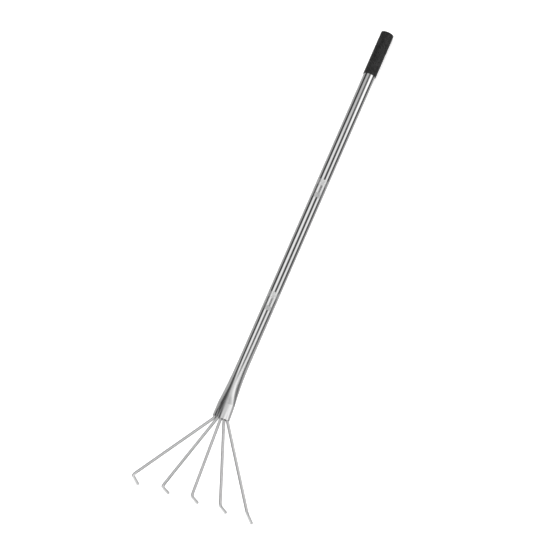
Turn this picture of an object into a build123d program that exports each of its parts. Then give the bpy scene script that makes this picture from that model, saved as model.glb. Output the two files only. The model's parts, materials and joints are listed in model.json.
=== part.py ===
from build123d import *
from math import cos, pi, radians, sin
import os

# A wire rake, modelled in millimetres. It is built straight first: the handle's axis is Y, the tines
# point towards -Y and their hooks towards -Z. "Down" is a distance from the grip's closed end, along
# the handle. The finished rake is then laid on level ground, on its hook tips and its grip.

# Handle tube
tube_diameter = 25.4             # one-inch tube
tube_wall = 1.0
pressing_start_down = 760.0      # where the round tube starts to flatten
steep_start_down = 815.0         # from here it flattens faster
shoulder_down = 863.0            # from here it is pressed flat, with one thickness, around the wires
mouth_down = 894.5
steep_start_thickness = 22.3
mouth_thickness = 11.9
crown_angle = 13.0               # degrees a pressed face turns from its middle to its rounded side
steep_start_drop = 0.7           # pressing pushes the end towards the hooks' side
shoulder_drop = 3.0
shoulder_flare = 1.8             # how much wider it is spread than pressing alone would
mouth_flare = 3.4

# Grip
grip_length = 100.5
grip_diameter = 28.0
grip_end_thickness = 2.5
grip_end_radius = 1.6
grip_rim_radius = 0.4

# Labels
label_length = 41.5
label_thickness = 0.15
label_centres_down = {"upper_label": 372.0, "lower_label": 633.0}

# Tines
wire_diameter = 6.35            # quarter-inch wire
wire_tip_radius = 0.8
mouth_pitch = 7.1
root_depth = 20.0                # how far each wire reaches into the mouth
mouth_bend_radius = 7.0
hook_bend_radius = 7.0
fan_lean = 6.6                   # degrees, towards the hooks' side
ground_slope = 3.3               # degrees between the handle and the ground it lies on

# The wires are bent by hand, so each has its own place, left outer tine first: how far past the mouth its
# first bend is, how far its hook stands sideways from the handle's axis, its reach from the mouth along
# the fan, and how many degrees its hook opens away from the handle.
tine_bends = {
    "left_outer_tine": (4.0, -130.5, 166.8, 5.0),
    "left_inner_tine": (1.7, -62.8, 168.8, -1.5),
    "centre_tine": (1.0, 2.7, 167.3, -1.5),
    "right_inner_tine": (0.5, 66.0, 166.3, -1.0),
    "right_outer_tine": (0.0, 125.2, 163.3, 5.5),
}

# Welds
weld_radius = 2.3
weld_height = 9.4

tube_radius = tube_diameter / 2
grip_radius = grip_diameter / 2
wire_radius = wire_diameter / 2

down = Vector(0, -1, 0)
fan_way = Vector(0, -cos(radians(fan_lean)), -sin(radians(fan_lean)))
fan_start = Vector(0, -shoulder_down, -shoulder_drop)
slope = radians(ground_slope)


def fan_point(sideways, past_mouth):
    """A point in the fan's plane, measured from the mouth."""
    reach = mouth_down - shoulder_down + past_mouth
    return fan_start + fan_way * reach + Vector(sideways, 0, 0)


def across(point, way):
    """A plane square to a direction, with its x axis sideways."""
    return Plane(origin=point, x_dir=(1, 0, 0), z_dir=way)


def outline(plane, thickness, flare, inset):
    """The tube's outline at some thickness: two crowned faces that run smoothly into round sides.

    Pressing keeps the tube's girth, and flare widens it. At the tube's diameter this is a circle."""
    crown = radians(crown_angle)
    quarter = pi * tube_diameter / 4 + flare / 2
    lift = 1 - cos(crown)
    side = (thickness / 2 * crown - quarter * lift) / (crown * cos(crown) - (pi / 2 - crown) * lift)
    face = (quarter - side * (pi / 2 - crown)) / crown
    half_width = (face - side) * sin(crown) + side - inset
    half_height = thickness / 2 - inset
    corner_x = (face - inset) * sin(crown)
    corner_y = (side - inset) * cos(crown)
    top_left = (-corner_x, corner_y)
    top_right = (corner_x, corner_y)
    low_left = (-corner_x, -corner_y)
    low_right = (corner_x, -corner_y)
    top = ThreePointArc(top_left, (0, half_height), top_right)
    low = ThreePointArc(low_right, (0, -half_height), low_left)
    right = ThreePointArc(top_right, (half_width, 0), low_right)
    left = ThreePointArc(low_left, (-half_width, 0), top_left)
    return plane * make_face([top, right, low, left])


def pressed_end(inset):
    """The end of the tube, from round to shoulder to flat mouth."""
    round_place = across(down * pressing_start_down, down)
    steep_place = across(Vector(0, -steep_start_down, -steep_start_drop), down)
    start = outline(round_place, tube_diameter, 0, inset)
    steep = outline(steep_place, steep_start_thickness, 0, inset)
    shoulder = outline(across(fan_start, down), mouth_thickness, shoulder_flare, inset)
    mouth = outline(across(fan_point(0, 0), fan_way), mouth_thickness, mouth_flare, inset)
    end = loft([start, steep], ruled=True)
    end += loft([steep, shoulder], ruled=True)
    end += loft([shoulder, mouth], ruled=True)
    return end


def make_handle_tube():
    top = across(down * grip_end_thickness, down)
    straight = pressing_start_down - grip_end_thickness
    outside = extrude(top * Circle(tube_radius), straight) + pressed_end(0)
    inside = extrude(top * Circle(tube_radius - tube_wall), straight) + pressed_end(tube_wall)
    return outside - inside


def sleeve_profile(points, rounded):
    """A closed outline of radius and distance down, with some corners rounded."""
    face = make_face(Polyline(*points, close=True))
    for corner, radius in rounded:
        near = face.vertices().sort_by_distance(Vector(*corner, 0))[0]
        face = fillet(near, radius)
    return face


def make_grip_sleeve():
    outer_end = (grip_radius, 0)
    outer_rim = (grip_radius, -grip_length)
    points = [
        (0, 0),
        outer_end,
        outer_rim,
        (tube_radius, -grip_length),
        (tube_radius, -grip_end_thickness),
        (0, -grip_end_thickness),
    ]
    rounded = [(outer_end, grip_end_radius), (outer_rim, grip_rim_radius)]
    return revolve(sleeve_profile(points, rounded), Axis.Y)


def make_label(centre_down):
    top = across(down * (centre_down - label_length / 2), down)
    ring = Circle(tube_radius + label_thickness) - Circle(tube_radius)
    return extrude(top * ring, label_length)


def height(point):
    """A point's height square to the sloping ground, above the grip end's centre."""
    return point.Z * cos(slope) - point.Y * sin(slope)


def ground_height():
    """The ground touches the rounded edge of the grip's closed end."""
    edge = Vector(0, -grip_end_radius, grip_end_radius - grip_radius)
    return height(edge) - grip_end_radius


def hook_tip(corner, opening):
    """Where a hook ends, with the rounded rim of its tip on the ground."""
    way = Vector(0, -sin(radians(opening)), -cos(radians(opening)))
    lean = abs(radians(opening) + slope)
    rim_rise = wire_tip_radius * (1 - cos(lean)) + (wire_radius - wire_tip_radius) * sin(lean)
    length = (height(corner) - ground_height() - rim_rise) / -height(way)
    return corner + way * length


def make_tine(place, bend_gap, spread, reach, opening):
    """One wire: root in the mouth, bend, straight reach, hook and rounded tip."""
    beside = place * mouth_pitch
    corner = fan_point(spread, reach)
    tip = hook_tip(corner, opening)
    points = [
        fan_point(beside, -root_depth),
        fan_point(beside, bend_gap),
        corner,
        tip,
    ]
    path = FilletPolyline(*points, radius=[mouth_bend_radius, hook_bend_radius])
    wire = sweep(across(points[0], fan_way) * Circle(wire_radius), path=path)
    tip_face = wire.faces().filter_by(GeomType.PLANE).sort_by_distance(tip)[0]
    return fillet(tip_face.edges(), wire_tip_radius)


def make_mouth_welds(tube, tines):
    """A bead in each gap between neighbouring wires, at the mouth."""
    beads = Part()
    gaps = len(tines) - 1
    for gap in range(gaps):
        sideways = (gap - (gaps - 1) / 2) * mouth_pitch
        place = Plane(origin=fan_point(sideways, 0), x_dir=(1, 0, 0), z_dir=fan_way.cross(Vector(1, 0, 0)))
        bead = place * Cylinder(weld_radius, weld_height)
        bead = bead - tube
        for tine in tines:
            bead = bead - tine
        beads += bead
    return beads


def make_rake():
    tube = make_handle_tube()
    middle = (len(tine_bends) - 1) / 2
    tines = {}
    for number, (name, bends) in enumerate(tine_bends.items()):
        tines[name] = make_tine(number - middle, *bends)
    rake = {"handle_tube": tube, "grip_sleeve": make_grip_sleeve()}
    for name, centre_down in label_centres_down.items():
        rake[name] = make_label(centre_down)
    rake.update(tines)
    rake["mouth_welds"] = make_mouth_welds(tube, list(tines.values()))
    return rake


def lay_down(rake):
    """Tilt the rake onto its tips and grip, and centre it over the origin."""
    tilt = Rot(X=-ground_slope)
    laid = {name: tilt * piece for name, piece in rake.items()}
    boxes = [piece.bounding_box() for piece in laid.values()]
    middle_x = (min(box.min.X for box in boxes) + max(box.max.X for box in boxes)) / 2
    middle_y = (min(box.min.Y for box in boxes) + max(box.max.Y for box in boxes)) / 2
    centre = Pos(-middle_x, -middle_y, -min(box.min.Z for box in boxes))
    return {name: centre * piece for name, piece in laid.items()}


os.makedirs("parts", exist_ok=True)
for name, piece in lay_down(make_rake()).items():
    export_step(piece, "parts/" + name + ".step")
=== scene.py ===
import json
from math import atan2, cos, exp, pi, radians, sin, sqrt

import bpy
from mathutils import Matrix, Vector, noise


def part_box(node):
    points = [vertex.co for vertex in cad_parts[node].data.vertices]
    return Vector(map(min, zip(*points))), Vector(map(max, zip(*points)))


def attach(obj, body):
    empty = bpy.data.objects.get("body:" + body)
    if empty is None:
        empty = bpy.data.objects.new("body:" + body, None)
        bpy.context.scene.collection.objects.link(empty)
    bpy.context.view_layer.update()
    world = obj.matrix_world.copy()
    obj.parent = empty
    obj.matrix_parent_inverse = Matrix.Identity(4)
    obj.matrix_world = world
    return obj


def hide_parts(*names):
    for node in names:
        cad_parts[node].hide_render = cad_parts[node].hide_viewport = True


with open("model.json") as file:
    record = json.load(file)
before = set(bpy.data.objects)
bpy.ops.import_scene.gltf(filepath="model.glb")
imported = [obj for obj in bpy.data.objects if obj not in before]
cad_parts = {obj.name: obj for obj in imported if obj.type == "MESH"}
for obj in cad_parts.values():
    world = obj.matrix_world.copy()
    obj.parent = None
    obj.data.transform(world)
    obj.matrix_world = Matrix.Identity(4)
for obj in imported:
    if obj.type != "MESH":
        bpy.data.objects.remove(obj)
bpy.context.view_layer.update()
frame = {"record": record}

# The looks of the wire rake, in metres. Every piece is shaped in the handle's own straight frame, where
# "down" is a distance from the grip's closed end along the handle, x is sideways and z is away from the
# hooks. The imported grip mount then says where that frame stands.

mm = 0.001

# Handle tube
tube_radius = 12.7 * mm
tube_wall = 1.0 * mm
tube_girth = 2 * pi * tube_radius
tube_columns = 160
straight_rings = 20
taper_rings = 80
crease_rings = 14
flat_rings = 30
rim_rings = 6
inner_ring_step = 3              # the tube's inside has a ring for every third one outside
pressing_start_down = 760 * mm
pressing_power = 2.35            # how the pressing deepens from its start to the shoulder
shoulder_down = 863 * mm
mouth_down = 894.5 * mm
mouth_thickness = 11.9 * mm
pressed_crown = radians(13)      # how far a pressed face turns from its middle to its rounded side
shoulder_drop = 3.0 * mm
shoulder_flare = 1.8 * mm
mouth_flare = 3.4 * mm
lean_start_down = 860 * mm
lean_end_down = 867 * mm
hollow_depth = 0.15 * mm         # the grooves that the wires leave in the mouth's faces
mouth_scallop = 0.7 * mm         # how far the mouth's edge draws back between the wires
scallop_length = 4 * mm
rim_rounding = 0.3 * mm

# Grip
grip_radius = 14.0 * mm
grip_length = 100.5 * mm
grip_end_thickness = 2.5 * mm
grip_end_radius = 1.6 * mm
grip_rim_radius = 0.4 * mm
grip_columns = 162
grip_end_rings = 6
grip_corner_rings = 8
grip_length_rings = 176
grip_rim_rings = 4
knurl_pitch = 5.5 * mm
knurl_depth = 0.60 * mm
knurl_narrowness = 6             # a higher power makes narrower grooves
knurl_margin = 5 * mm

# Labels
label_length = 41.5 * mm
label_thickness = 0.15 * mm
label_edge = label_thickness / 4
skin_gap = 0.02 * mm             # between the tube and what is pushed or wrapped over it
# The print's greys, and how much of the film it covers: bands round the whole label, and panels in windows
# down its middle. Places down the label are shares of its length. A window's sides are shares of its girth.
label_greys = [(0.0, 0.66), (0.74, 0.62), (0.80, 0.52), (1.0, 0.52)]
label_bands = [(0.0, 0.10), (0.29, 0.10), (0.33, 0.035), (0.75, 0.035), (0.79, 0.055), (1.0, 0.055)]
label_windows = [
    (-0.036, 0.036, [(0.0, 0.42), (0.29, 0.42), (0.34, 0.0), (1.0, 0.0)]),
    (-0.018, 0.024, [(0.0, 0.0), (0.28, 0.0), (0.33, 0.13), (0.74, 0.13), (0.79, 0.0), (1.0, 0.0)]),
    (-0.068, 0.066, [(0.0, 0.0), (0.74, 0.0), (0.80, 0.42), (1.0, 0.42)]),
]
label_window_edge = 0.008

# Tines, bent as in the CAD: how far past the mouth each first bend is, how far each hook stands sideways,
# its reach from the mouth along the fan, and how many degrees its hook opens away from the handle.
wire_radius = 3.175 * mm
wire_tip_radius = 0.8 * mm
wire_columns = 28
wire_ring_spacing = 6 * mm
bend_steps = 12
bend_squeeze = 0.04              # how much a wire is flattened in the middle of a bend
tip_rings = 5
tip_clearance = 0.1 * mm         # rings nearer than this to the rounded tip are left out
mouth_pitch = 7.1 * mm
root_depth = 20 * mm
mouth_bend_radius = 7 * mm
hook_bend_radius = 7 * mm
fan_lean = radians(6.6)
tine_bends = {
    "left_outer_tine": (4.0 * mm, -130.5 * mm, 166.8 * mm, 5.0),
    "left_inner_tine": (1.7 * mm, -62.8 * mm, 168.8 * mm, -1.5),
    "centre_tine": (1.0 * mm, 2.7 * mm, 167.3 * mm, -1.5),
    "right_inner_tine": (0.5 * mm, 66.0 * mm, 166.3 * mm, -1.0),
    "right_outer_tine": (0.0 * mm, 125.2 * mm, 163.3 * mm, 5.5),
}

# Welds: one bead in each gap between two wires, from left to right
weld_sizes = (1.0, 1.0, 1.15, 1.0)
weld_rows = 24
weld_columns = 32
weld_half_height = 4.7 * mm
weld_half_width = 2.1 * mm
weld_half_depth = 2.5 * mm
weld_past_mouth = -0.4 * mm
weld_ripple = 0.05
weld_ripple_count = 17
weld_lump = 0.10
weld_lump_scale = 2.2

# Materials. Scales are repeats a metre round and along a piece, and pairs are a lowest and a highest value.
noise_range = (0.3, 0.7)         # where most of a noise's values lie
steel_line_range = (0.25, 0.75)
steel_line_depth = 0.02 * mm
grip_fleck_scale = (300, 120, 1)
grip_fleck_turn = radians(35)
grip_fleck_range = (0.35, 0.65)
grip_fleck_depth = 1.0 * mm
grip_cloud_scale = 60.0
grip_grain_scale = 1800.0
grip_grain_depth = 0.06 * mm
grip_greys = [(0.35, 0.002), (0.5, 0.008), (0.65, 0.020)]
grip_roughness = (0.22, 0.46)
grip_specular = 0.36
film_wear_scale = 700.0
film_wear = (0.75, 1.15)         # how much of the print is left
film_wear_depth = 0.03 * mm
film_roughness = (0.28, 0.40)

# Camera, seen from the handle's straight frame
camera_turn = radians(19.01)     # sideways from straight above
camera_rise = radians(15.60)     # towards the tines
camera_roll = radians(23.63)
camera_distance = 6.494
camera_aim_sideways = -13.0 * mm
camera_aim_down = 575.5 * mm
camera_lens = 208.0
camera_sensor = 36.0
camera_clip = (0.1, 100.0)

# Studio
floor_half_size = 14.0
floor_grey = 0.9
floor_glow = 0.4
world_glow = 1.3

down_way = Vector((0, -1, 0))
fan_way = Vector((0, -cos(fan_lean), -sin(fan_lean)))
fan_top = Vector((0, -sin(fan_lean), cos(fan_lean)))


def place_of_handle():
    """The row-frame matrix of the handle's straight frame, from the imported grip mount."""
    mount = next(m for m in frame["record"]["mounts"] if m["name"] == "grip_end")
    up = Vector(mount["axis"]).normalized()
    side = Vector((1, 0, 0))
    above = side.cross(up)
    to_end = grip_end_radius + mount["dims"]["length_mm"] * mm / 2
    origin = Vector(mount["pos_m"]) + up * to_end
    matrix = Matrix((side, up, above)).transposed().to_4x4()
    matrix.translation = origin
    return matrix


handle_frame = place_of_handle()


def at(sideways, down, above=0.0):
    return Vector((sideways, -down, above))


def fan_point(sideways, past_mouth):
    """A point of the plane that the tines fan out in, measured from the mouth."""
    start = at(sideways, shoulder_down, -shoulder_drop)
    return start + fan_way * (mouth_down - shoulder_down + past_mouth)


def blend(start, end, value):
    """0 before start, 1 after end, and smooth between them."""
    share = min(1.0, max(0.0, (value - start) / (end - start)))
    return share * share * (3 - 2 * share)


# ---------------------------------------------------------------- meshes

def add_object(name, data):
    item = bpy.data.objects.new(name, data)
    bpy.context.scene.collection.objects.link(item)
    return item


def ring_faces(rings, columns, closed=False):
    """The four-sided faces between each ring of points and the next."""
    faces = []
    for ring in range(rings if closed else rings - 1):
        below = (ring + 1) % rings
        for column in range(columns):
            side = (column + 1) % columns
            faces.append((ring * columns + column, ring * columns + side,
                          below * columns + side, below * columns + column))
    return faces


def loft(name, rings, along, around, closed=False, tips=()):
    """A closed skin over rings of points, with texture coordinates in metres along and around it.

    closed joins the last ring to the first; tips are the two points that close its ends instead. Which way
    round the rings run decides whether the faces point outwards or inwards."""
    columns = len(rings[0])
    points = [point for ring in rings for point in ring]
    faces = ring_faces(len(rings), columns, closed)
    corners = []
    for ring in range(len(faces) // columns):
        top = along[ring]
        low = along[(ring + 1) % len(rings)]
        for column in range(columns):
            left = column / columns * around
            right = (column + 1) / columns * around
            corners += [(left, top), (right, top), (right, low), (left, low)]
    for tip, ring in zip(tips, (0, len(rings) - 1)):
        points.append(tip)
        for column in range(columns):
            side = (column + 1) % columns
            pair = (column, side) if ring else (side, column)
            faces.append((ring * columns + pair[0], ring * columns + pair[1], len(points) - 1))
            for step in (pair[0], pair[1], column):
                corners.append((step / columns * around, along[ring]))
    mesh = bpy.data.meshes.new(name)
    mesh.from_pydata(points, [], faces)
    layer = mesh.uv_layers.new(name="Lengths")
    for corner, place in zip(layer.data, corners):
        corner.uv = place
    mesh.update()
    mesh.transform(handle_frame)
    return add_object(name, mesh)


def smooth(piece, sharp_angle):
    piece.data.shade_smooth()
    piece.data.set_sharp_from_angle(angle=radians(sharp_angle))


def finish_piece(piece, node, material):
    """Puts the piece on the rake in its CAD node's place."""
    piece.data.materials.append(material)
    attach(piece, "root")
    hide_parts(node)


# ---------------------------------------------------------------- handle tube

def turns(columns):
    """Evenly spaced turns from half a turn before 0. Round the handle, 0 is on top."""
    return [-pi + 2 * pi * column / columns for column in range(columns)]


def outline_point(turn, thickness, flare, inset):
    """Where a point of the round tube lies once the tube is pressed to a thickness.

    Pressing keeps the girth, apart from the flare. Two crowned faces run smoothly into round sides."""
    crown = pressed_crown
    quarter = tube_girth / 4 + flare / 2
    lift = 1 - cos(crown)
    side = (thickness / 2 * crown - quarter * lift) / (crown * cos(crown) - (pi / 2 - crown) * lift)
    face = (quarter - side * (pi / 2 - crown)) / crown
    above = abs(turn) <= pi / 2
    run = quarter * (abs(turn) if above else pi - abs(turn)) / (pi / 2)
    angle = run / face
    if angle <= crown:
        x = (face - inset) * sin(angle)
        z = (face - inset) * cos(angle) + thickness / 2 - face
    else:
        angle = crown + (run - face * crown) / side
        x = (face - side) * sin(crown) + (side - inset) * sin(angle)
        z = (side - inset) * cos(angle)
    return (x if turn > 0 else -x), (z if above else -z)


def wire_hollow(x, down):
    """How deep the grooves between the wires are pressed into the mouth's faces."""
    half_width = len(tine_bends) / 2 * mouth_pitch
    beside = 1 - blend(half_width - mouth_pitch / 2, half_width, abs(x))
    depth = hollow_depth * blend(lean_end_down, mouth_down, down) * beside
    return depth * (1 - cos(2 * pi * x / mouth_pitch)) / 2


def tube_point(turn, down, inset):
    """A point of the tube's wall, round or pressed."""
    pressed = max(0.0, down - pressing_start_down) / (shoulder_down - pressing_start_down)
    share = min(1.0, pressed) ** pressing_power
    past = max(0.0, down - shoulder_down)
    thickness = 2 * tube_radius - (2 * tube_radius - mouth_thickness) * share
    flare = shoulder_flare * share + (mouth_flare - shoulder_flare) * past / (mouth_down - shoulder_down)
    x, z = outline_point(turn, thickness, flare, inset)
    hollow = wire_hollow(x, down)
    z -= hollow if z > 0 else -hollow
    lean = fan_lean * blend(lean_start_down, lean_end_down, down)
    middle = at(0, min(down, shoulder_down), -shoulder_drop * share) + fan_way * past
    scallop = mouth_scallop * blend(mouth_down - scallop_length, mouth_down, down)
    middle += fan_way * scallop * (cos(2 * pi * x / mouth_pitch) - 1) / 2
    return middle + Vector((x, -sin(lean) * z, cos(lean) * z))


def spaced(start, end, count):
    return [start + (end - start) * step / count for step in range(count + 1)]


def make_tube():
    straight = spaced(grip_end_thickness, pressing_start_down, straight_rings)[:-1]
    taper = spaced(pressing_start_down, lean_start_down, taper_rings)
    crease = spaced(lean_start_down, lean_end_down, crease_rings)[1:]
    flat = spaced(lean_end_down, mouth_down - rim_rounding, flat_rings)[1:]
    outer = straight + taper + crease + flat
    stations = [(down, 0.0) for down in outer]
    for corner in spaced(0, pi, rim_rings):
        inset = tube_wall / 2 * (1 - cos(corner))
        stations.append((mouth_down - rim_rounding * (1 - sin(corner)), inset))
    stations += [(down, tube_wall) for down in reversed(outer[::inner_ring_step])]
    rings = [[tube_point(turn, down, inset) for turn in turns(tube_columns)] for down, inset in stations]
    along = [down for down, inset in stations]
    tube = loft("polished_handle_tube", rings, along, tube_girth, closed=True)
    smooth(tube, sharp_angle=50)
    return tube


# ---------------------------------------------------------------- grip

def knurl(turn, down):
    """The depth of the moulded diamond grooves, fading out towards both ends of the grip."""
    rows = round(2 * pi * grip_radius / knurl_pitch / 2) * 2
    around = rows * turn / 2
    length = pi * down / knurl_pitch
    groove = max(abs(cos(around + length)), abs(cos(around - length)))
    fade = blend(knurl_margin, 2 * knurl_margin, min(down, grip_length - down))
    return knurl_depth * fade * groove ** knurl_narrowness


def make_grip():
    outer = [(radius, 0.0) for radius in spaced(0, grip_radius - grip_end_radius, grip_end_rings)[1:]]
    for corner in spaced(0, pi / 2, grip_corner_rings)[1:]:
        reach = grip_radius - grip_end_radius * (1 - sin(corner))
        outer.append((reach, grip_end_radius * (1 - cos(corner))))
    side = spaced(grip_end_radius, grip_length - grip_rim_radius, grip_length_rings)[1:]
    outer += [(grip_radius, down) for down in side]
    for corner in spaced(0, pi / 2, grip_rim_rings)[1:]:
        reach = grip_radius - grip_rim_radius * (1 - cos(corner))
        outer.append((reach, grip_length - grip_rim_radius * (1 - sin(corner))))
    inner_radius = tube_radius + skin_gap
    inner_end = grip_end_thickness - skin_gap
    inner = [(inner_radius, grip_length), (inner_radius, inner_end)]
    rings = []
    for radius, down in outer + inner:
        ring = []
        for turn in turns(grip_columns):
            reach = radius - (knurl(turn, down) if radius == grip_radius else 0.0)
            ring.append(at(reach * sin(turn), down, reach * cos(turn)))
        rings.append(ring)
    along = [down for radius, down in outer + inner]
    tips = (at(0, 0), at(0, inner_end))
    grip = loft("black_grip_sleeve", rings, along, 2 * pi * grip_radius, tips=tips)
    smooth(grip, sharp_angle=40)
    return grip


# ---------------------------------------------------------------- labels

def make_label(name, node):
    """A film sleeve, centred where its CAD node is."""
    low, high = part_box(node)
    middle = handle_frame.inverted() @ ((low + high) / 2)
    start = -middle.y - label_length / 2
    end = start + label_length
    inside = tube_radius + skin_gap
    outside = tube_radius + label_thickness
    profile = [
        (inside, start),
        (outside - label_edge, start),
        (outside, start + label_edge),
        (outside, end - label_edge),
        (outside - label_edge, end),
        (inside, end),
    ]
    rings = []
    for radius, down in profile:
        rings.append([at(radius * sin(turn), down, radius * cos(turn)) for turn in turns(tube_columns)])
    along = [down - start for radius, down in profile]
    label = loft(name, rings, along, tube_girth, closed=True)
    smooth(label, sharp_angle=50)
    return label


# ---------------------------------------------------------------- tines

def hook_tip(corner, opening):
    """Where a hook ends, with the rounded rim of its tip on the ground."""
    way = Vector((0, -sin(opening), -cos(opening)))
    row_way = handle_frame.to_3x3() @ way
    lean = atan2(abs(row_way.y), -row_way.z)
    rim_rise = wire_tip_radius * (1 - cos(lean)) + (wire_radius - wire_tip_radius) * sin(lean)
    return corner + way * ((handle_frame @ corner).z - rim_rise) / -row_way.z


def bent_path(points, radii):
    """Stations (place, heading, distance, bend share) along straight runs joined by arcs."""
    stations = []
    place = points[0]
    distance = 0.0
    for index in range(1, len(points)):
        heading = (points[index] - points[index - 1]).normalized()
        cut = 0.0
        if index < len(points) - 1:
            leaving = (points[index + 1] - points[index]).normalized()
            turn = heading.angle(leaving)
            cut = radii[index - 1] * (1 / cos(turn / 2) ** 2 - 1) ** 0.5
        end = points[index] - heading * cut
        run = (end - place).length
        count = max(2, round(run / wire_ring_spacing))
        for step in range(count + 1):
            stations.append((place.lerp(end, step / count), heading, distance + run * step / count, 0.0))
        distance += run
        place = end
        if cut:
            radius = radii[index - 1]
            inward = (leaving - heading * heading.dot(leaving)).normalized()
            centre = end + inward * radius
            for step in range(1, bend_steps):
                angle = turn * step / bend_steps
                spot = centre + (heading * sin(angle) - inward * cos(angle)) * radius
                facing = heading * cos(angle) + inward * sin(angle)
                stations.append((spot, facing, distance + radius * angle, sin(pi * step / bend_steps)))
            distance += radius * turn
            place = centre + (heading * sin(turn) - inward * cos(turn)) * radius
    return stations


def make_tine(name, order, bend_gap, spread, reach, opening):
    """One wire from its root in the mouth to its hook, squeezed a little where it was bent."""
    beside = order * mouth_pitch
    corner = fan_point(spread, reach)
    tip = hook_tip(corner, radians(opening))
    points = [fan_point(beside, -root_depth), fan_point(beside, bend_gap), corner, tip]
    stations = bent_path(points, [mouth_bend_radius, hook_bend_radius])
    side = Vector((1, 0, 0))
    rings = []
    along = []
    end_distance = stations[-1][2]
    for place, heading, distance, bend in stations:
        if distance > end_distance - wire_tip_radius - tip_clearance:
            continue
        rings.append(wire_ring(place, heading, side, wire_radius, bend))
        along.append(distance)
    for angle in spaced(0, pi / 2, tip_rings):
        back = wire_tip_radius * (1 - sin(angle))
        radius = wire_radius - wire_tip_radius * (1 - cos(angle))
        rings.append(wire_ring(tip - heading * back, heading, side, radius, 0.0))
        along.append(end_distance - back)
    tine = loft(name, rings, along, 2 * pi * wire_radius, tips=(points[0], tip))
    smooth(tine, sharp_angle=50)
    return tine


def wire_ring(place, heading, side, radius, bend):
    """A ring square to the wire, starting outside its hook's bend and squeezed a little in bends."""
    across = (side - heading * side.dot(heading)).normalized()
    inward = across.cross(heading)
    squeezed = 1 - bend_squeeze * bend
    ring = []
    for turn in turns(wire_columns):
        ring.append(place + across * radius * sin(turn) + inward * radius * squeezed * cos(turn))
    return ring


# ---------------------------------------------------------------- welds

def make_weld(name, sideways, size):
    """A rippled bead that fills the gap between two wires at the mouth."""
    half_height = weld_half_height * size
    half_depth = weld_half_depth * size
    middle = fan_point(sideways, weld_past_mouth)
    own_lumps = Vector((sideways / mm, 0, 0))
    rings = []
    for row in range(1, weld_rows):
        lift = -cos(pi * row / weld_rows)
        shape = sqrt(1 - lift * lift)
        ring = []
        for turn in turns(weld_columns):
            way = Vector((shape * sin(turn), shape * cos(turn), lift))
            lump = weld_lump * noise.noise(way * weld_lump_scale + own_lumps)
            ripple = 1 + weld_ripple * sin(lift * weld_ripple_count) + lump
            spot = fan_top * way.z * half_height + fan_way * way.y * half_depth
            ring.append(middle + (spot + Vector((way.x * weld_half_width, 0, 0))) * ripple)
        rings.append(ring)
    along = [half_height * 2 * row / weld_rows for row in range(1, weld_rows)]
    tips = (middle - fan_top * half_height, middle + fan_top * half_height)
    weld = loft(name, rings, along, 2 * pi * weld_half_width, tips=tips)
    smooth(weld, sharp_angle=60)
    return weld


# ---------------------------------------------------------------- materials

def new_material(name):
    material = bpy.data.materials.new(name)
    material.use_nodes = True
    tree = material.node_tree
    return material, tree, tree.nodes["Principled BSDF"]


def add(tree, kind, **settings):
    node = tree.nodes.new(kind)
    for key, value in settings.items():
        if key in node.inputs:
            node.inputs[key].default_value = value
        else:
            setattr(node, key, value)
    return node


def lengths(tree, scale=(1, 1, 1), rotation=0.0):
    """The mesh's own coordinates in metres around (x) and along (y), turned and then stretched by scale."""
    source = add(tree, "ShaderNodeUVMap", uv_map="Lengths")
    turned = add(tree, "ShaderNodeMapping", Rotation=(0, 0, rotation))
    stretched = add(tree, "ShaderNodeMapping", Scale=scale)
    tree.links.new(source.outputs["UV"], turned.inputs["Vector"])
    tree.links.new(turned.outputs["Vector"], stretched.inputs["Vector"])
    return stretched.outputs["Vector"]


def noise_on(tree, vector, scale=1.0, detail=3.0):
    texture = add(tree, "ShaderNodeTexNoise", Scale=scale, Detail=detail)
    tree.links.new(vector, texture.inputs["Vector"])
    return texture.outputs["Fac"]


def remap(tree, source, from_range, to_range):
    """Maps a source's lowest and highest value to those of another range."""
    node = add(tree, "ShaderNodeMapRange")
    ends = ("From Min", "From Max", "To Min", "To Max")
    for end, value in zip(ends, (*from_range, *to_range)):
        node.inputs[end].default_value = value
    tree.links.new(source, node.inputs["Value"])
    return node.outputs["Result"]


def shades(tree, source, stops):
    """A ramp of greys: stops are (position, grey)."""
    ramp = add(tree, "ShaderNodeValToRGB")
    elements = ramp.color_ramp.elements
    while len(elements) < len(stops):
        elements.new(1.0)
    for element, (position, grey) in zip(elements, stops):
        element.position = position
        element.color = (grey, grey, grey, 1)
    tree.links.new(source, ramp.inputs["Fac"])
    return ramp.outputs["Color"]


def combine(tree, operation, first, second):
    node = add(tree, "ShaderNodeMath", operation=operation)
    tree.links.new(first, node.inputs[0])
    tree.links.new(second, node.inputs[1])
    return node.outputs[0]


def bump(tree, shader, source, strength, distance):
    """Adds a bump on top of those that the shader already has."""
    node = add(tree, "ShaderNodeBump", Strength=strength, Distance=distance)
    tree.links.new(source, node.inputs["Height"])
    previous = shader.inputs["Normal"].links
    if previous:
        tree.links.new(previous[0].from_socket, node.inputs["Normal"])
    tree.links.new(node.outputs["Normal"], shader.inputs["Normal"])


def steel(name, greys, roughness, line_scale, line_bump, patch_scale):
    """Stainless steel with drawn or polished lines along it and softly clouded patches."""
    material, tree, shader = new_material(name)
    shader.inputs["Metallic"].default_value = 1.0
    lines = noise_on(tree, lengths(tree, line_scale), detail=2.0)
    patches = noise_on(tree, lengths(tree, patch_scale))
    tree.links.new(shades(tree, patches, list(zip(noise_range, greys))), shader.inputs["Base Color"])
    tree.links.new(remap(tree, lines, steel_line_range, roughness), shader.inputs["Roughness"])
    bump(tree, shader, lines, strength=line_bump, distance=steel_line_depth)
    return material


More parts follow.
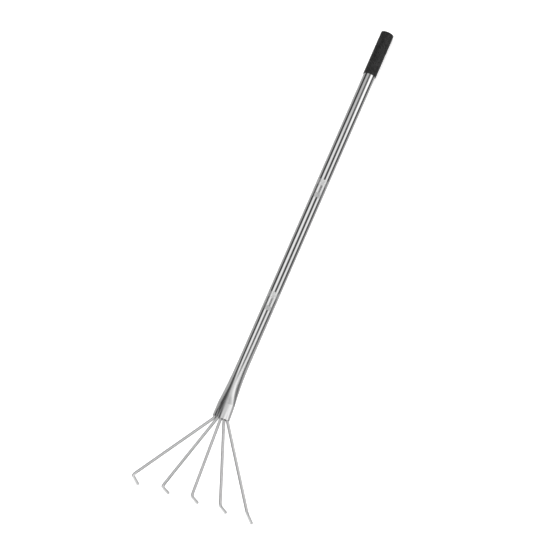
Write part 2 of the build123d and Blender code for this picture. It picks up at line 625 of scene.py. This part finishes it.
def grip_vinyl():
    """Black vinyl with a fine grain, slanting glossy flecks and faint clouds."""
    material, tree, shader = new_material("black_vinyl")
    grain = noise_on(tree, lengths(tree), scale=grip_grain_scale)
    flecks = noise_on(tree, lengths(tree, grip_fleck_scale, grip_fleck_turn), detail=2.0)
    cloud = noise_on(tree, lengths(tree), scale=grip_cloud_scale)
    both = combine(tree, "ADD", cloud, flecks)
    mottle = remap(tree, both, (0.0, 2.0), (0.0, 1.0))
    tree.links.new(shades(tree, mottle, grip_greys), shader.inputs["Base Color"])
    tree.links.new(remap(tree, flecks, grip_fleck_range, grip_roughness), shader.inputs["Roughness"])
    shader.inputs["Specular IOR Level"].default_value = grip_specular
    bump(tree, shader, flecks, strength=1.0, distance=grip_fleck_depth)
    bump(tree, shader, grain, strength=0.5, distance=grip_grain_depth)
    return material


def label_film(name, facing):
    """Clear film, with pale panels printed down it at the turn round the tube that facing gives."""
    material, tree, shader = new_material(name)
    place = add(tree, "ShaderNodeSeparateXYZ")
    tree.links.new(lengths(tree, (1 / tube_girth, 1 / label_length, 1)), place.inputs["Vector"])
    wear = noise_on(tree, lengths(tree), scale=film_wear_scale, detail=2.0)
    middle = facing / (2 * pi) + 0.5
    cover = shades(tree, place.outputs["Y"], label_bands)
    for left, right, panels in label_windows:
        window = shades(tree, place.outputs["X"], [
            (middle + left - label_window_edge, 0.0),
            (middle + left, 1.0),
            (middle + right, 1.0),
            (middle + right + label_window_edge, 0.0),
        ])
        panel = combine(tree, "MULTIPLY", window, shades(tree, place.outputs["Y"], panels))
        cover = combine(tree, "ADD", cover, panel)
    worn = combine(tree, "MULTIPLY", cover, remap(tree, wear, noise_range, film_wear))
    tree.links.new(worn, shader.inputs["Alpha"])
    tree.links.new(shades(tree, place.outputs["Y"], label_greys), shader.inputs["Base Color"])
    tree.links.new(remap(tree, wear, noise_range, film_roughness), shader.inputs["Roughness"])
    bump(tree, shader, wear, strength=0.2, distance=film_wear_depth)
    return material


# ---------------------------------------------------------------- studio

def make_floor():
    size = floor_half_size
    mesh = bpy.data.meshes.new("studio_floor")
    corners = [(-size, -size, 0), (size, -size, 0), (size, size, 0), (-size, size, 0)]
    mesh.from_pydata(corners, [], [(0, 1, 2, 3)])
    floor = add_object("studio_floor", mesh)
    material, tree, shader = new_material("pale_floor")
    shader.inputs["Base Color"].default_value = (floor_grey, floor_grey, floor_grey, 1)
    shader.inputs["Roughness"].default_value = 1.0
    shader.inputs["Specular IOR Level"].default_value = 0.0
    shader.inputs["Emission Color"].default_value = (1, 1, 1, 1)
    shader.inputs["Emission Strength"].default_value = floor_glow
    mesh.materials.append(material)
    floor.visible_glossy = False


def make_world():
    world = bpy.data.worlds.new("white_studio")
    world.use_nodes = True
    background = world.node_tree.nodes["Background"]
    background.inputs["Color"].default_value = (1, 1, 1, 1)
    background.inputs["Strength"].default_value = world_glow
    bpy.context.scene.world = world


# A light tent round the rake, seen only in reflections: soft white panels with dark flags between them.
# Each panel has five places, for the grip, the tube, the pressed end, the steep stretch above its crease and
# the fan. At each it has the angle where it starts, in degrees from straight above towards +X, and its glow.
# It ends where the next one starts. The top and right softboxes differ for the crease only. The runs say how
# far down one place turns into the next.
tent_radius = 2.5
tent_columns = 288
tent_rows = 160
tent_ends_down = (-3.5, 4.5)
tent_tube_down = (-0.66, -0.61)
tent_pressed_end_down = (-0.15, 0.80)
tent_crease_down = (1.03, 1.13)
tent_fan_down = (1.25, 1.55)
tent_runs = (tent_tube_down, tent_pressed_end_down, tent_crease_down, tent_fan_down)
tent_softness = 3.1              # how softly a panel's edge fades, in degrees
tent_panels = {
    "left_flag": ((-70, 0.04), (-70, 0.04), (-36.5, 0.06), (-36.5, 0.06), (-145, 0.15)),
    "left_softbox": ((-34, 0.70), (-34, 1.28), (-18, 1.47), (-18, 1.30), (-40, 0.85)),
    "top_flag": ((8, 0.12), (8, 0.04), (-11.5, 0.30), (-11.5, 0.30), (5, 0.85)),
    "top_softbox": ((40, 1.70), (45, 1.28), (-6.5, 1.45), (-6.5, 0.75), (6, 0.85)),
    "right_softbox": ((40, 1.70), (45, 1.28), (-6.5, 1.45), (3.0, 1.45), (6, 0.85)),
    "right_flag": ((83, 0.04), (83, 0.04), (20, 0.15), (20, 0.15), (60, 0.15)),
    "under_reflector": ((120, 0.60), (120, 0.60), (30, 0.64), (30, 0.64), (145, 1.10)),
}


def tent_glow(angle, down):
    """The glow of the tent at an angle and a distance down, with the panels' edges softened."""
    panels = []
    for places in tent_panels.values():
        panel = places[0]
        for place, run in zip(places[1:], tent_runs):
            share = blend(*run, down)
            panel = [before + (after - before) * share for before, after in zip(panel, place)]
        panels.append(panel)
    first, glow = panels[0]
    panels.append((first + 360, glow))
    if angle < first:
        angle += 360
    before = glow
    for start, after in panels[1:]:
        glow += (after - before) / (1 + exp((start - angle) / tent_softness))
        before = after
    return glow


def make_tent():
    points = []
    glows = []
    for down in spaced(*tent_ends_down, tent_rows):
        for column in range(tent_columns):
            angle = -180 + 360 * column / tent_columns
            points.append(at(tent_radius * sin(radians(angle)), down, tent_radius * cos(radians(angle))))
            glows.append(tent_glow(angle, down))
    mesh = bpy.data.meshes.new("light_tent")
    mesh.from_pydata(points, [], ring_faces(tent_rows + 1, tent_columns))
    mesh.attributes.new("Glow", "FLOAT", "POINT").data.foreach_set("value", glows)
    mesh.transform(handle_frame)
    tent = add_object("light_tent", mesh)
    material, tree, shader = new_material("tent_glow")
    shader.inputs["Base Color"].default_value = (0, 0, 0, 1)
    shader.inputs["Specular IOR Level"].default_value = 0.0
    shader.inputs["Emission Color"].default_value = (1, 1, 1, 1)
    source = add(tree, "ShaderNodeAttribute", attribute_name="Glow")
    tree.links.new(source.outputs["Fac"], shader.inputs["Emission Strength"])
    material.cycles.emission_sampling = "NONE"
    mesh.materials.append(material)
    tent.visible_camera = False
    tent.visible_diffuse = False
    tent.visible_shadow = False
    tent.visible_transmission = False


def make_camera():
    """Looks at the back of the rake from beyond its tines."""
    turn, rise = camera_turn, camera_rise
    back = Vector((sin(turn) * cos(rise), -sin(rise), cos(turn) * cos(rise)))
    low = (down_way - back * down_way.dot(back)).normalized()
    level = (-low).cross(back)
    right = level * cos(camera_roll) - low * sin(camera_roll)
    up = back.cross(right)
    data = bpy.data.cameras.new("studio_camera")
    data.lens = camera_lens
    data.sensor_width = camera_sensor
    data.clip_start, data.clip_end = camera_clip
    camera = add_object("studio_camera", data)
    turned = Matrix((right, up, back)).transposed().to_4x4()
    turned.translation = at(camera_aim_sideways, camera_aim_down) + back * camera_distance
    camera.matrix_world = handle_frame @ turned
    bpy.context.scene.camera = camera
    bpy.context.scene.view_settings.view_transform = "Standard"


# ---------------------------------------------------------------- the rake

def make_rake():
    polished = steel("polished_steel", greys=(0.60, 0.66), roughness=(0.07, 0.16),
                     line_scale=(2500, 12, 1), line_bump=0.10, patch_scale=(60, 10, 1))
    satin = steel("satin_steel", greys=(0.66, 0.78), roughness=(0.36, 0.48),
                  line_scale=(3000, 25, 1), line_bump=0.35, patch_scale=(40, 14, 1))
    # The weld beads' dark greys are partly the heat tint of weld metal and partly painted shade in the gaps
    # between the wires at the mouth.
    bead = steel("weld_bead_steel_tint_and_painted_shade", greys=(0.20, 0.42), roughness=(0.30, 0.50),
                 line_scale=(900, 900, 1), line_bump=0.6, patch_scale=(300, 300, 1))
    finish_piece(make_tube(), "handle_tube", polished)
    finish_piece(make_grip(), "grip_sleeve", grip_vinyl())
    for node in ("upper_label", "lower_label"):
        film = label_film(node + "_film", camera_turn)
        finish_piece(make_label("film_" + node, node), node, film)
    middle = (len(tine_bends) - 1) / 2
    for number, (node, bends) in enumerate(tine_bends.items()):
        tine = make_tine("wire_" + node, number - middle, *bends)
        finish_piece(tine, node, satin)
    middle_gap = (len(weld_sizes) - 1) / 2
    for gap, size in enumerate(weld_sizes):
        weld = make_weld("weld_bead_" + str(gap + 1), (gap - middle_gap) * mouth_pitch, size)
        finish_piece(weld, "mouth_welds", bead)


make_camera()
make_world()
make_floor()
make_tent()
make_rake()
